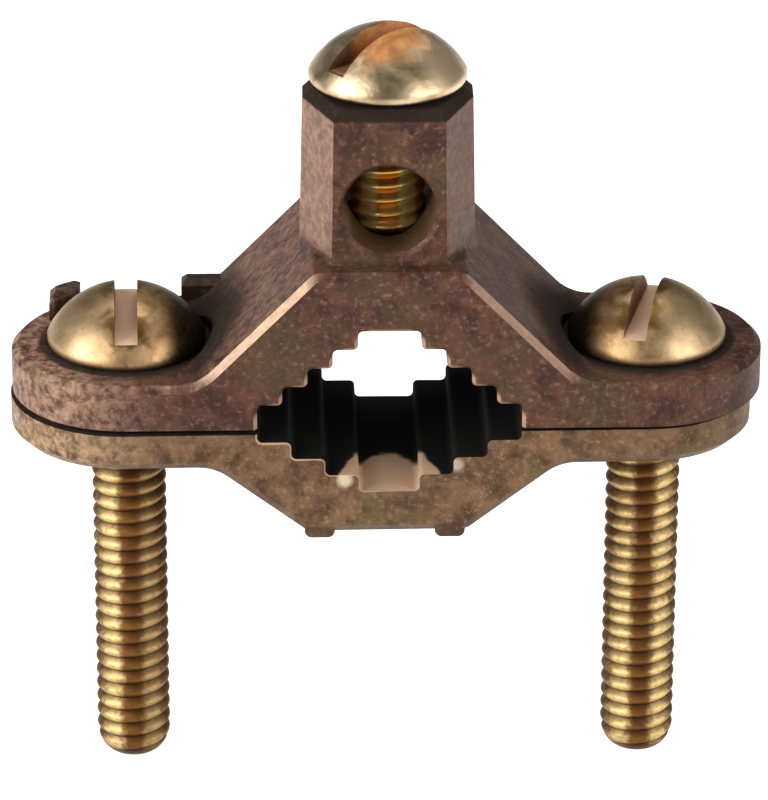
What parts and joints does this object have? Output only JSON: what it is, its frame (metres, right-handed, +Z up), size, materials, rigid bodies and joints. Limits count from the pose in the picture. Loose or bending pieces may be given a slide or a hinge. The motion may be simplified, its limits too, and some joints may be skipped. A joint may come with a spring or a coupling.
{
  "type": "earth rod clamp",
  "caption": "Cast bronze clamp whose serrated jaws are drawn together on an earth rod by slotted screws, with a boss on top that holds the earth wire under a set screw.",
  "frame": {"origin": "midway between the jaws' flat faces, on the centre line of the rod opening", "axes": "+X from the left clamp screw to the right one, +Y through the rod opening away from the front, +Z up along the screws to the wire boss"},
  "size_m": [0.0627, 0.0192, 0.0663],
  "materials": {
    "upper_casting": "sand-cast bronze, darkened to a reddish brown",
    "lower_casting": "sand-cast bronze, darkened to an olive tan",
    "clamp_screw_metal": "bright brass, rolled threads",
    "wire_screw_metal": "yellow zinc plating worn pale, with rust in the slot"
  },
  "bodies": {
    "upper_jaw": {"upper_jaw": "upper_casting"},
    "lower_jaw": {"lower_jaw": "lower_casting"},
    "clamp_screw_left": {"clamp_screw_left": "clamp_screw_metal"},
    "clamp_screw_right": {"clamp_screw_right": "clamp_screw_metal"},
    "wire_screw": {"wire_screw": "wire_screw_metal"}
  },
  "joints": [
    {"name": "left_screw_turn", "type": "hinge", "parent": "upper_jaw", "child": "clamp_screw_left", "pos_m": [-0.0217, 0, 0], "axis": [0, 0, 1], "range_deg": [0, 7200]},
    {"name": "right_screw_turn", "type": "hinge", "parent": "upper_jaw", "child": "clamp_screw_right", "pos_m": [0.0217, 0, 0], "axis": [0, 0, 1], "range_deg": [0, 7200]},
    {"name": "jaw_opening", "type": "slide", "parent": "upper_jaw", "child": "lower_jaw", "axis": [0, 0, -1], "range_m": [0, 0.0254]},
    {"name": "wire_screw_lift", "type": "slide", "parent": "upper_jaw", "child": "wire_screw", "axis": [0, 0, 1], "range_m": [0, 0.008]}
  ],
  "couplings": [
    {"joint": "left_screw_turn", "follows": "jaw_opening", "rad_per_m": 4947.4},
    {"joint": "right_screw_turn", "follows": "jaw_opening", "rad_per_m": 4947.4}
  ]
}
